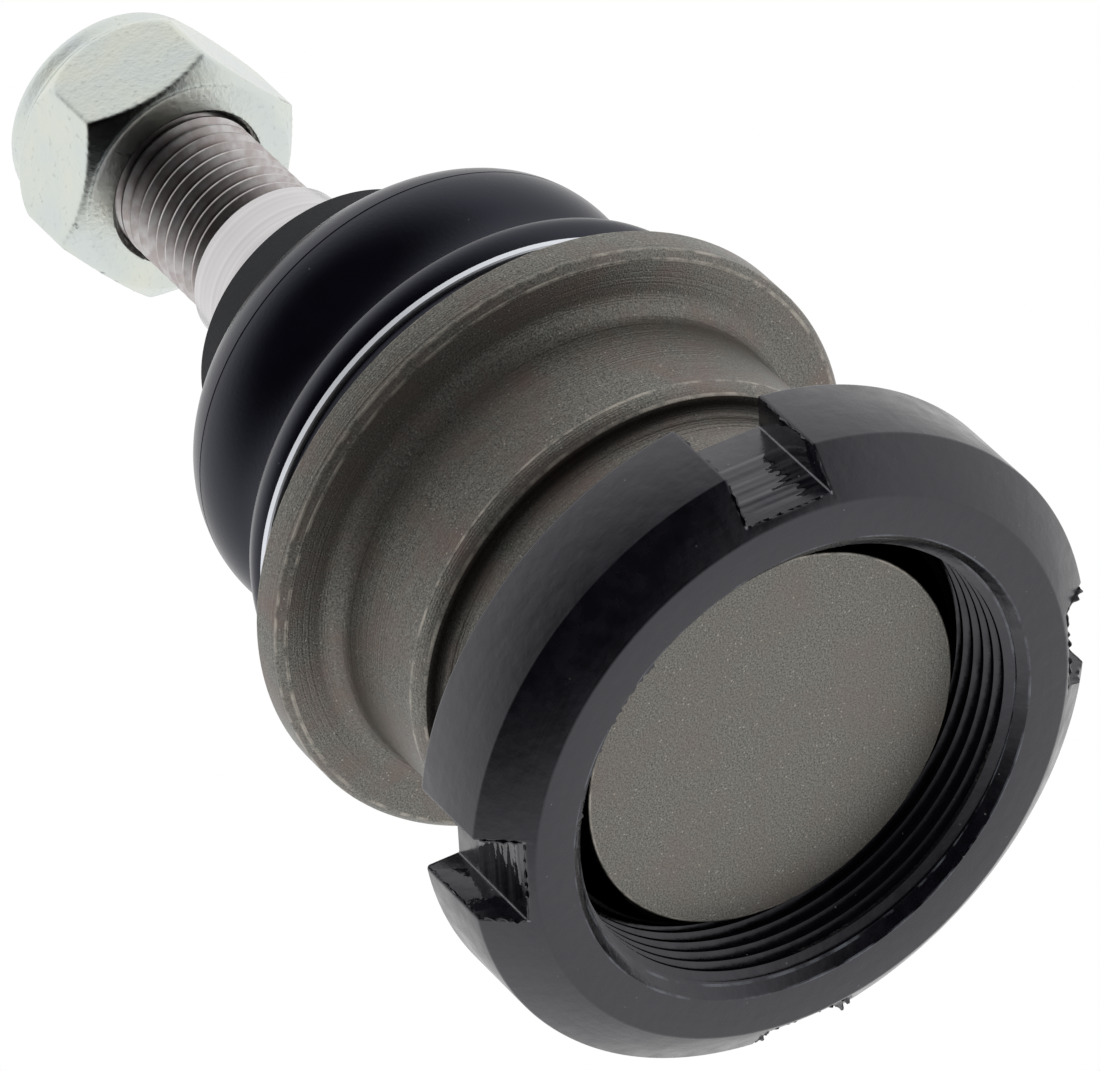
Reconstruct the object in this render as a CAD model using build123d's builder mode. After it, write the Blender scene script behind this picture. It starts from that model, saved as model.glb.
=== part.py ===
from build123d import *

import math
import os

# Suspension ball joint: a flanged housing clamped in a control arm by a slotted ring nut,
# with a tapered ball stud, its rubber boot and its locking nut.
#
# Millimetres. The common axis is Z and the stud points up. Z = 0 is the open face of the ring nut.

# ---- driving dimensions ----------------------------------------------------------------------
thread_pitch = 1.5              # both threads are fine threads of this pitch
thread_depth = 0.54 * thread_pitch  # from the crest of an outside thread to the nut's bore
running_gap = 0.05              # radial clearance between a shaft and its bore
seat_gap = 0.05                 # clearance between pieces that are pressed or laid together

# ring nut, M42 x 1.5
ring_thread_r = 21.0            # outside radius of the thread
ring_height = 11.5
ring_outer_r = 29.3
ring_face_r = 25.35             # where the front face turns into the bevel
ring_bevel_height = 3.3
ring_back_chamfer = 0.3
ring_mouth_r = 21.7             # lead-in chamfers of the bore
ring_slot_count = 4
ring_slot_width = 8.0
ring_slot_floor = 25.85         # distance of the slot floors from the axis

# housing, from its closed end up
nose_inset = 4.95               # closed end, behind the open face of the ring nut
nose_r = 17.4
nose_edge = 0.4
nose_length = 3.05
thread_length = 8.5
relief_length = 6.8
relief_corner = 1.2
barrel_r = 22.0                 # fits the eye of the control arm
relief_depth = 2.1              # under the barrel
barrel_length = 13.2            # from the relief to the face of the flange
barrel_lead = 0.8
barrel_lead_height = 1.5
flange_r = 27.5
flange_thickness = 3.9
flange_fillet = 2.0
flange_seat_edge = 0.6
flange_top_edge = 0.3
collar_r = 20.5                 # carries the boot and its clamp ring
collar_height = 6.2
collar_roll = 2.2               # outer radius of the rolled-in edge
roll_thickness = 2.7
roll_bore_r = 16.4

# ball and seat
ball_r = 14.0
ball_depth = 7.0                # ball centre under the seating face of the flange
ball_flat_depth = 0.4
seat_wall = 3.0
seat_floor = 2.0                # seat wall under the ball
seat_height = 8.6               # above the ball centre
seat_hold_angle = 28.0          # the seat wraps the ball up to this angle above its equator
seat_mouth_flare = 2.0
seat_slot_count = 6
seat_slot_width = 1.6
seat_slot_depth = 12.6
seat_drain_r = 3.0

# closing ring, rolled in above the seat
closing_step = 1.7              # how far it is wider than the seat
closing_low_bore_r = 14.3
closing_top_bore_r = 15.9

# band that holds the foot of the boot, and the foot itself
band_r = 24.0
band_thickness = 0.75
band_height = 0.8
foot_rim_height = 4.3           # rubber under the band
foot_rim_overlap = 0.35         # how far the rim stands out past the inside of the band

# boot, heights from the top of the flange
boot_wall = 1.9
boot_bead_r = 24.25
boot_bead_height = 9.0
boot_bead_round = 2.5
boot_groove_r = 19.3
boot_groove_round = 2.35
boot_bulge_r = 21.7
boot_bulge_round = 6.5
boot_bulge_height = 18.95
boot_height = 33.1
boot_neck_r = 13.4              # outside of the sealing lip round the stud
boot_neck_fillet = 0.8

# ring moulded into the boot's lip
lip_ring_wall = 1.6
lip_ring_height = 4.0
lip_ring_cover = 1.0            # rubber over its ends and inside it

# ball stud, M14 x 1.5, heights from the ball centre
stud_thread_r = 6.93
stud_neck_r = 7.0
stud_neck_fillet = 1.5
stud_neck_height = 20.5
taper_low_height = 34.5
taper_top_height = 54.7
taper_top_r = 7.75
taper_slope = 0.05              # 1 in 10 on the diameter
taper_edge = 0.8
stud_height = 79.3
stud_end_chamfer = 0.9

# stud nut, with a nylon locking ring
nut_grip = 10.15                # length of stud inside the nut, as it is screwed on
nut_across_flats = 21.0
nut_height = 14.0
nut_angle = 17.2                # degrees, one corner from +X
nut_washer_r = 10.05            # flat that meets the carrier
nut_chamfer_angle = 43.0
nut_countersink_r = 7.5
nut_shoulder_height = 4.55      # rounded shoulder between the hexagon and the collar
nut_collar_r = 10.15
nut_collar_height = 2.7
nut_collar_round = 1.2
insert_outer_r = 8.9
insert_height = 2.8
insert_cover = 0.75             # how far the collar is rolled in over the nylon ring
insert_lip = 0.9                # thickness of the rolled-in edge

# ---- sizes that follow -----------------------------------------------------------------------
ring_bore_r = ring_thread_r - thread_depth
ring_lead = ring_mouth_r - ring_bore_r
housing_thread_r = ring_bore_r - running_gap
thread_start_z = nose_inset + nose_length
thread_end_z = thread_start_z + thread_length
relief_end_z = thread_end_z + relief_length
relief_r = barrel_r - relief_depth
flange_seat_z = relief_end_z + barrel_length
flange_top_z = flange_seat_z + flange_thickness
collar_top_z = flange_top_z + collar_height
roll_low_z = collar_top_z - roll_thickness

ball_z = flange_seat_z - ball_depth
cavity_r = ball_r + seat_wall
cavity_floor_z = ball_z - ball_r - seat_floor
seat_ball_r = ball_r + running_gap
seat_outer_r = cavity_r - seat_gap
seat_low_z = cavity_floor_z + seat_gap
seat_top_z = ball_z + seat_height
closing_r = cavity_r + closing_step

foot_bore_r = collar_r + seat_gap
foot_low_z = flange_top_z + seat_gap
band_low_z = foot_low_z + foot_rim_height + seat_gap
band_top_z = band_low_z + band_height
band_bore_r = band_r - band_thickness
foot_groove_r = band_bore_r - seat_gap
foot_rim_r = band_bore_r + foot_rim_overlap
bead_top_z = flange_top_z + boot_bead_height
bead_z = bead_top_z - boot_bead_round
bead_core_r = boot_bead_r - boot_bead_round
bead_low_z = band_top_z + seat_gap
bead_low_r = bead_core_r + math.sqrt(boot_bead_round**2 - (bead_z - bead_low_z) ** 2)
groove_z = bead_top_z + boot_groove_round
bulge_z = flange_top_z + boot_bulge_height
bulge_top_z = bulge_z + boot_bulge_round
bulge_core_r = boot_bulge_r - boot_bulge_round
boot_top_z = flange_top_z + boot_height
lip_ring_low_z = boot_top_z - lip_ring_cover - lip_ring_height
lip_ring_outer_r = boot_neck_r - lip_ring_cover
lip_ring_inner_r = lip_ring_outer_r - lip_ring_wall

taper_low_z = ball_z + taper_low_height
taper_top_z = ball_z + taper_top_height
stud_end_z = ball_z + stud_height

nut_seat_z = stud_end_z - nut_grip
nut_corner_r = nut_across_flats / math.sqrt(3)
nut_corner_drop = (nut_corner_r - nut_washer_r) * math.tan(math.radians(nut_chamfer_angle))
nut_top_z = nut_seat_z + nut_height
nut_hex_top_z = nut_top_z - nut_collar_height
nut_bore_r = stud_thread_r + running_gap
pocket_top_z = nut_top_z - insert_lip
pocket_low_z = pocket_top_z - insert_height - 2 * seat_gap

os.makedirs("parts", exist_ok=True)


def taper_r(z):
    """Radius of the stud's taper at a height."""
    return taper_top_r + taper_slope * (taper_top_z - z)


def corner(section, r, z):
    """The corner of a section that stands nearest to a radius and a height."""
    return section.vertices().sort_by_distance((r, z))[0]


# ---- ring nut --------------------------------------------------------------------------------
with BuildPart() as ring_nut:
    with BuildSketch(Plane.XZ):
        with BuildLine():
            Polyline(
                (ring_mouth_r, 0),
                (ring_face_r, 0),
                (ring_outer_r, ring_bevel_height),
                (ring_outer_r, ring_height - ring_back_chamfer),
                (ring_outer_r - ring_back_chamfer, ring_height),
                (ring_mouth_r, ring_height),
                (ring_bore_r, ring_height - ring_lead),
                (ring_bore_r, ring_lead),
                close=True,
            )
        make_face()
    revolve(axis=Axis.Z)
    with BuildSketch(Plane.XY):
        with PolarLocations(0, ring_slot_count):
            with Locations((ring_slot_floor, 0)):
                Rectangle(ring_outer_r, ring_slot_width, align=(Align.MIN, Align.CENTER))
    extrude(amount=ring_height, mode=Mode.SUBTRACT)
ring_nut.part.label = "ring_nut"
export_step(ring_nut.part, "parts/ring_nut.step")

# ---- housing ---------------------------------------------------------------------------------
with BuildPart() as housing:
    with BuildSketch(Plane.XZ) as housing_section:
        with BuildLine():
            Polyline(
                (0, cavity_floor_z),
                (0, nose_inset),
                (nose_r - nose_edge, nose_inset),
                (nose_r, nose_inset + nose_edge),
                (nose_r, thread_start_z),
                (housing_thread_r - thread_depth, thread_start_z),
                (housing_thread_r, thread_start_z + thread_depth),
                (housing_thread_r, thread_end_z),
                (relief_r, thread_end_z + housing_thread_r - relief_r),
                (relief_r, relief_end_z),
                (barrel_r - barrel_lead, relief_end_z),
                (barrel_r, relief_end_z + barrel_lead_height),
                (barrel_r, flange_seat_z),
                (flange_r - flange_seat_edge, flange_seat_z),
                (flange_r, flange_seat_z + flange_seat_edge),
                (flange_r, flange_top_z - flange_top_edge),
                (flange_r - flange_top_edge, flange_top_z),
                (collar_r, flange_top_z),
                (collar_r, collar_top_z),
                (roll_bore_r, collar_top_z),
                (roll_bore_r, roll_low_z),
                (closing_r, roll_low_z),
                (closing_r, seat_top_z),
                (cavity_r, seat_top_z),
                (cavity_r, cavity_floor_z),
                close=True,
            )
        make_face()
        fillet(corner(housing_section, relief_r, relief_end_z), relief_corner)
        fillet(corner(housing_section, barrel_r, flange_seat_z), flange_fillet)
        fillet(corner(housing_section, collar_r, collar_top_z), collar_roll)
    revolve(axis=Axis.Z)
housing.part.label = "housing"
export_step(housing.part, "parts/housing.step")

# ---- ball seat: a slotted shell that snaps over the ball -------------------------------------
hold_r = seat_ball_r * math.cos(math.radians(seat_hold_angle))
hold_z = ball_z + seat_ball_r * math.sin(math.radians(seat_hold_angle))
drain_z = ball_z - math.sqrt(seat_ball_r**2 - seat_drain_r**2)
with BuildPart() as ball_seat:
    with BuildSketch(Plane.XZ) as seat_section:
        with BuildLine():
            Polyline(
                (seat_drain_r, drain_z),
                (seat_drain_r, seat_low_z),
                (seat_outer_r, seat_low_z),
                (seat_outer_r, seat_top_z),
                (hold_r + seat_mouth_flare, seat_top_z),
                (hold_r, hold_z),
            )
            ThreePointArc((hold_r, hold_z), (seat_ball_r, ball_z), (seat_drain_r, drain_z))
        make_face()
        fillet(corner(seat_section, seat_outer_r, seat_low_z), seat_floor)
    revolve(axis=Axis.Z)
    with BuildSketch(Plane.XY.offset(seat_top_z)):
        with PolarLocations(0, seat_slot_count):
            Rectangle(cavity_r, seat_slot_width, align=(Align.MIN, Align.CENTER))
    extrude(amount=-seat_slot_depth, mode=Mode.SUBTRACT)
ball_seat.part.label = "ball_seat"
export_step(ball_seat.part, "parts/ball_seat.step")

# ---- closing ring, held down by the rolled edge of the housing -------------------------------
with BuildPart() as closing_ring:
    with BuildSketch(Plane.XZ):
        with BuildLine():
            Polyline(
                (closing_low_bore_r, seat_top_z + seat_gap),
                (closing_r - seat_gap, seat_top_z + seat_gap),
                (closing_r - seat_gap, roll_low_z - seat_gap),
                (closing_top_bore_r, roll_low_z - seat_gap),
                close=True,
            )
        make_face()
    revolve(axis=Axis.Z)
closing_ring.part.label = "closing_ring"
export_step(closing_ring.part, "parts/closing_ring.step")

# ---- boot ------------------------------------------------------------------------------------
waist_r = (boot_groove_r + boot_bulge_r) / 2
waist_z = (groove_z + bulge_z) / 2
with BuildPart() as boot:
    with BuildSketch(Plane.XZ) as boot_section:
        with BuildLine():
            foot = Polyline(
                (foot_bore_r, collar_top_z),
                (foot_bore_r, foot_low_z),
                (foot_rim_r, foot_low_z),
                (foot_rim_r, band_low_z - seat_gap),
                (foot_groove_r, band_low_z - seat_gap),
                (foot_groove_r, bead_low_z),
                (bead_low_r, bead_low_z),
            )
            bead = ThreePointArc(foot @ 1, (boot_bead_r, bead_z), (bead_core_r, bead_top_z))
            bead_roof = Line(bead @ 1, (boot_groove_r + boot_groove_round, bead_top_z))
            groove = JernArc(bead_roof @ 1, (-1, 0), boot_groove_round, -90)
            flank = TangentArc(groove @ 1, (waist_r, waist_z), tangent=(0, 1))
            belly = TangentArc(flank @ 1, (boot_bulge_r, bulge_z), tangent=flank % 1)
            bulge = JernArc(belly @ 1, (0, 1), boot_bulge_round, 90)
            lip = Polyline(
                bulge @ 1,
                (boot_neck_r, bulge_top_z),
                (boot_neck_r, boot_top_z),
                (taper_r(boot_top_z) + running_gap, boot_top_z),
                (taper_r(bulge_top_z - boot_wall) + running_gap, bulge_top_z - boot_wall),
                (bulge_core_r, bulge_top_z - boot_wall),
            )
            inner_bulge = JernArc(lip @ 1, (1, 0), boot_bulge_round - boot_wall, -90)
            inner_belly = TangentArc(inner_bulge @ 1, (waist_r - boot_wall, waist_z), tangent=(0, -1))
            groove_back = (boot_groove_r - boot_wall, groove_z)
            inner_flank = TangentArc(inner_belly @ 1, groove_back, tangent=inner_belly % 1)
            TangentArc(groove_back, foot @ 0, tangent=(0, -1))
        make_face()
        fillet(corner(boot_section, boot_neck_r, bulge_top_z), boot_neck_fillet)
    revolve(axis=Axis.Z)
    with BuildSketch(Plane.XY.offset(lip_ring_low_z - seat_gap)):
        Circle(lip_ring_outer_r + seat_gap)
        Circle(lip_ring_inner_r - seat_gap, mode=Mode.SUBTRACT)
    extrude(amount=lip_ring_height + 2 * seat_gap, mode=Mode.SUBTRACT)
boot.part.label = "boot"
export_step(boot.part, "parts/boot.step")

# ---- steel ring moulded into the boot's lip --------------------------------------------------
with BuildPart() as lip_ring:
    with BuildSketch(Plane.XY.offset(lip_ring_low_z)):
        Circle(lip_ring_outer_r)
        Circle(lip_ring_inner_r, mode=Mode.SUBTRACT)
    extrude(amount=lip_ring_height)
lip_ring.part.label = "lip_ring"
export_step(lip_ring.part, "parts/lip_ring.step")

# ---- band round the foot of the boot ---------------------------------------------------------
with BuildPart() as boot_band:
    with BuildSketch(Plane.XY.offset(band_low_z)):
        Circle(band_r)
        Circle(band_bore_r, mode=Mode.SUBTRACT)
    extrude(amount=band_height)
boot_band.part.label = "boot_band"
export_step(boot_band.part, "parts/boot_band.step")

# ---- ball stud -------------------------------------------------------------------------------
ball_low_z = ball_z - ball_r + ball_flat_depth
ball_flat_r = math.sqrt(ball_r**2 - (ball_r - ball_flat_depth) ** 2)
neck_low_z = ball_z + math.sqrt(ball_r**2 - stud_neck_r**2)
with BuildPart() as ball_stud:
    with BuildSketch(Plane.XZ) as stud_section:
        with BuildLine():
            Polyline((0, stud_end_z), (0, ball_low_z), (ball_flat_r, ball_low_z))
            ball = ThreePointArc((ball_flat_r, ball_low_z), (ball_r, ball_z), (stud_neck_r, neck_low_z))
            neck = Line(ball @ 1, (stud_neck_r, ball_z + stud_neck_height))
            flare = TangentArc(neck @ 1, (taper_r(taper_low_z), taper_low_z), tangent=(0, 1))
            Polyline(
                flare @ 1,
                (taper_top_r, taper_top_z),
                (stud_thread_r, taper_top_z + taper_edge),
                (stud_thread_r, stud_end_z - stud_end_chamfer),
                (stud_thread_r - stud_end_chamfer, stud_end_z),
                (0, stud_end_z),
            )
        make_face()
        fillet(corner(stud_section, stud_neck_r, neck_low_z), stud_neck_fillet)
    revolve(axis=Axis.Z)
ball_stud.part.label = "ball_stud"
export_step(ball_stud.part, "parts/ball_stud.step")

# ---- stud nut --------------------------------------------------------------------------------
with BuildPart() as stud_nut:
    with BuildSketch(Plane.XY.offset(nut_seat_z)):
        RegularPolygon(nut_corner_r, 6, rotation=nut_angle)
    extrude(amount=nut_hex_top_z - nut_seat_z)
    with BuildSketch(Plane.XZ):
        with BuildLine():
            side = Polyline(
                (0, nut_hex_top_z),
                (0, nut_seat_z),
                (nut_washer_r, nut_seat_z),
                (nut_corner_r, nut_seat_z + nut_corner_drop),
                (nut_corner_r, nut_hex_top_z - nut_shoulder_height),
            )
            shoulder = TangentArc(side @ 1, (nut_collar_r, nut_hex_top_z), tangent=(0, 1))
            Line(shoulder @ 1, side @ 0)
        make_face()
    revolve(axis=Axis.Z, mode=Mode.INTERSECT)
    with BuildSketch(Plane.XZ) as collar_section:
        with Locations((0, pocket_low_z)):
            Rectangle(nut_collar_r, nut_top_z - pocket_low_z, align=Align.MIN)
        fillet(corner(collar_section, nut_collar_r, nut_top_z), nut_collar_round)
    revolve(axis=Axis.Z)
    with BuildSketch(Plane.XZ):
        with BuildLine():
            Polyline(
                (0, nut_seat_z),
                (nut_countersink_r, nut_seat_z),
                (nut_bore_r, nut_seat_z + nut_countersink_r - nut_bore_r),
                (nut_bore_r, pocket_low_z),
                (insert_outer_r, pocket_low_z),
                (insert_outer_r, pocket_top_z),
                (nut_bore_r + insert_cover, pocket_top_z),
                (nut_bore_r + insert_cover, nut_top_z),
                (0, nut_top_z),
                close=True,
            )
        make_face()
    revolve(axis=Axis.Z, mode=Mode.SUBTRACT)
stud_nut.part.label = "stud_nut"
export_step(stud_nut.part, "parts/stud_nut.step")

# ---- nylon ring in the nut -------------------------------------------------------------------
with BuildPart() as nut_insert:
    with BuildSketch(Plane.XY.offset(pocket_low_z + seat_gap)):
        Circle(insert_outer_r - seat_gap)
        Circle(nut_bore_r, mode=Mode.SUBTRACT)
    extrude(amount=insert_height)
nut_insert.part.label = "nut_insert"
export_step(nut_insert.part, "parts/nut_insert.step")
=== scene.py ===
"""Looks of a suspension ball joint: housing, ring nut, rubber boot, ball stud and plated nut."""
from math import asin, cos, degrees, hypot, radians, sin, sqrt, tau

import bpy
from mathutils import Euler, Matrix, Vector, noise


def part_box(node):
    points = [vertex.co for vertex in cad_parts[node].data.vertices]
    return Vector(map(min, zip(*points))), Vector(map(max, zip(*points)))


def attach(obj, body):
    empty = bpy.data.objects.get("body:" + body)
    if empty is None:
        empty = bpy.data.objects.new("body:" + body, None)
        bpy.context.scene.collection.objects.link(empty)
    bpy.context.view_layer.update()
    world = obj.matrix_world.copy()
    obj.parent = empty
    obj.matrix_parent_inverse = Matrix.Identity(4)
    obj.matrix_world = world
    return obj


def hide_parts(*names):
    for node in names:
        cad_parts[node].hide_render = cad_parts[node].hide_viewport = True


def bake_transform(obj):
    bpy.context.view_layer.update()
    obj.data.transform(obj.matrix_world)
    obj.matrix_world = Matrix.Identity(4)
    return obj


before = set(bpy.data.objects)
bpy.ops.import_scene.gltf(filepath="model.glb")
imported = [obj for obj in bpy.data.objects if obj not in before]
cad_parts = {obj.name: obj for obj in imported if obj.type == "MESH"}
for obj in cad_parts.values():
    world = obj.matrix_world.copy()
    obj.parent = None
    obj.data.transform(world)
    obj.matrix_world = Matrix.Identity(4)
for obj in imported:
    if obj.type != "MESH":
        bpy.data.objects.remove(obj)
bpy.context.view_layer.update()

# ---- sizes: lengths are millimetres --------------------------------------------------------------
MM = 0.001
PITCH = 1.5                     # of every thread here
THREAD_DEPTH = 0.81             # from a thread's crest to its root
STUD_THREAD_R = 6.93
THREAD_ROOT_R = STUD_THREAD_R - THREAD_DEPTH
ROUND_STEPS = 192               # sides of a turned piece


def top(node):
    """Height of a node's top, in millimetres."""
    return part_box(node)[1].z / MM


def bottom(node):
    """Height of a node's bottom, in millimetres."""
    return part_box(node)[0].z / MM


# ---- outlines: lists of (radius, height) in millimetres ------------------------------------------
def arc(centre, radius, start, end, steps=8):
    """Points along an arc of an outline, angles in degrees from the outward direction."""
    r, z = centre
    angles = [radians(start + (end - start) * i / steps) for i in range(steps + 1)]
    return [(r + radius * cos(a), z + radius * sin(a)) for a in angles]


# ---- making pieces -------------------------------------------------------------------------------
def draw_chain(name, outline):
    """A chain of points in the XZ plane, left in edit mode."""
    bpy.ops.object.select_all(action="DESELECT")
    bpy.ops.mesh.primitive_plane_add(size=MM)
    piece = bpy.context.object
    piece.name = piece.data.name = name
    bpy.ops.object.mode_set(mode="EDIT")
    bpy.ops.mesh.merge(type="CENTER")
    here = Vector((0, 0, 0))
    for number, (r, z) in enumerate(outline):
        there = Vector((r * MM, 0, z * MM))
        if number:
            bpy.ops.mesh.extrude_region_move(TRANSFORM_OT_translate={"value": there - here})
        else:
            bpy.ops.transform.translate(value=there)
        here = there
    return piece


def turned(name, outline, steps=ROUND_STEPS):
    """A piece turned from an outline that is closed or starts and ends on the axis."""
    piece = draw_chain(name, outline)
    bpy.ops.mesh.select_all(action="SELECT")
    bpy.ops.mesh.spin(steps=steps, angle=tau, center=(0, 0, 0), axis=(0, 0, 1))
    bpy.ops.mesh.select_all(action="SELECT")
    bpy.ops.mesh.remove_doubles(threshold=0.002 * MM)
    bpy.ops.mesh.normals_make_consistent(inside=False)
    bpy.ops.object.mode_set(mode="OBJECT")
    return piece


def apply_modifier(piece, kind, **settings):
    """Adds a modifier to a piece and applies it."""
    modifier = piece.modifiers.new(kind.title(), kind)
    for key, value in settings.items():
        setattr(modifier, key, value)
    bpy.context.view_layer.objects.active = piece
    bpy.ops.object.modifier_apply(modifier=modifier.name)


def thread_rod(name, low, high, crest, steps):
    """A right-hand threaded rod between two heights, flat at both ends.

    The profile is a list of (radius, share of the pitch): an eighth of it is crest, a quarter root.
    """
    root = crest - THREAD_DEPTH
    start = low - 2 * PITCH
    profile = [(crest, 0), (crest, 0.125), (root, 0.4375), (root, 0.6875), (crest, 1)]
    rod = draw_chain(name, [(r, start + share * PITCH) for r, share in profile])
    bpy.ops.object.mode_set(mode="OBJECT")
    turns = int((high - low) / PITCH) + 4
    apply_modifier(
        rod, "SCREW", axis="Z", angle=tau, screw_offset=PITCH * MM, iterations=turns,
        steps=steps, render_steps=steps, use_merge_vertices=True, merge_threshold=0.001 * MM,
    )
    bpy.ops.object.mode_set(mode="EDIT")
    bpy.ops.mesh.select_all(action="SELECT")
    bpy.ops.mesh.remove_doubles(threshold=0.002 * MM)
    for height, outer in ((low, False), (high, True)):
        bpy.ops.mesh.select_all(action="SELECT")
        bpy.ops.mesh.bisect(
            plane_co=(0, 0, height * MM), plane_no=(0, 0, 1), use_fill=True,
            clear_inner=not outer, clear_outer=outer, threshold=0.001 * MM,
        )
    bpy.ops.mesh.select_all(action="SELECT")
    bpy.ops.mesh.normals_make_consistent(inside=False)
    bpy.ops.object.mode_set(mode="OBJECT")
    return rod


def cut_away(piece, cutter, operation="DIFFERENCE"):
    """Cuts one piece with another, or unites or intersects them, and deletes the other."""
    apply_modifier(piece, "BOOLEAN", operation=operation, object=cutter, solver="EXACT")
    bpy.data.objects.remove(cutter)


def join(piece, *others):
    """Makes several pieces one."""
    bpy.ops.object.select_all(action="DESELECT")
    for part in (piece, *others):
        part.select_set(True)
    bpy.context.view_layer.objects.active = piece
    bpy.ops.object.join()


def finish_piece(piece, material, body, node, angle=32):
    """Gives a piece its material and its shading, and ties it to the body and node it stands for."""
    bpy.ops.object.select_all(action="DESELECT")
    piece.select_set(True)
    bpy.context.view_layer.objects.active = piece
    bpy.ops.object.shade_smooth_by_angle(angle=radians(angle))
    piece.data.materials.clear()
    piece.data.materials.append(material)
    if body:
        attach(piece, body)
    if node:
        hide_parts(node)


# ---- materials -----------------------------------------------------------------------------------
def linear(code):
    """A hex colour as linear red, green, blue and alpha."""
    values = [int(code[i:i + 2], 16) / 255 for i in (1, 3, 5)]
    return [v / 12.92 if v <= 0.04045 else ((v + 0.055) / 1.055) ** 2.4 for v in values] + [1]


def feed(tree, node, inputs):
    """Gives a node's inputs their values, or links them to the sockets that feed them."""
    for key, value in inputs.items():
        if isinstance(value, bpy.types.NodeSocket):
            tree.links.new(value, node.inputs[key])
        else:
            node.inputs[key].default_value = value


def add_node(tree, kind, inputs, output=0, **settings):
    """Adds a node with its settings and inputs, and returns one of its outputs."""
    node = tree.nodes.new("ShaderNode" + kind)
    for key, value in settings.items():
        setattr(node, key, value)
    feed(tree, node, inputs)
    return node.outputs[output]


def new_material(name):
    """A new material, its node tree and its main shader."""
    material = bpy.data.materials.new(name)
    material.use_nodes = True
    tree = material.node_tree
    return material, tree, tree.nodes["Principled BSDF"]


def radius_and_height(tree):
    """Distance from the axis and height of a point, in metres."""
    place = add_node(tree, "TexCoord", {}, "Object")
    across = add_node(tree, "VectorMath", {0: place, 1: (1, 1, 0)}, operation="MULTIPLY")
    radius = add_node(tree, "VectorMath", {0: across}, "Value", operation="LENGTH")
    height = add_node(tree, "SeparateXYZ", {0: place}, "Z")
    return radius, height


def turning_marks(tree, spacing, detail=2.0):
    """Fine rings left by a turning tool, about spacing millimetres apart.

    They follow a mix of radius and height, so that they run over flat, round and tapered faces alike.
    """
    radius, height = radius_and_height(tree)
    along = add_node(tree, "Math", {0: height, 1: 0.8, 2: radius}, operation="MULTIPLY_ADD")
    return add_node(
        tree, "TexNoise", {"W": along, "Scale": 1 / (spacing * MM), "Detail": detail}, noise_dimensions="1D"
    )


def near_rings(tree, rings, reach):
    """1 on the given rings, each a (radius, height) in millimetres, fading to 0 at a distance of reach."""
    radius, height = radius_and_height(tree)
    place = add_node(tree, "CombineXYZ", {"X": radius, "Y": height})
    nearest = 1.0                   # metres, farther than any ring
    for r, z in rings:
        ring = (r * MM, z * MM, 0)
        gap = add_node(tree, "VectorMath", {0: place, 1: ring}, "Value", operation="DISTANCE")
        nearest = add_node(tree, "Math", {0: gap, 1: nearest}, operation="MINIMUM")
    return add_node(
        tree, "MapRange",
        {"Value": nearest, "From Min": 0.1 * MM, "From Max": reach * MM, "To Min": 1.0, "To Max": 0.0},
        interpolation_type="SMOOTHSTEP",
    )


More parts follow.
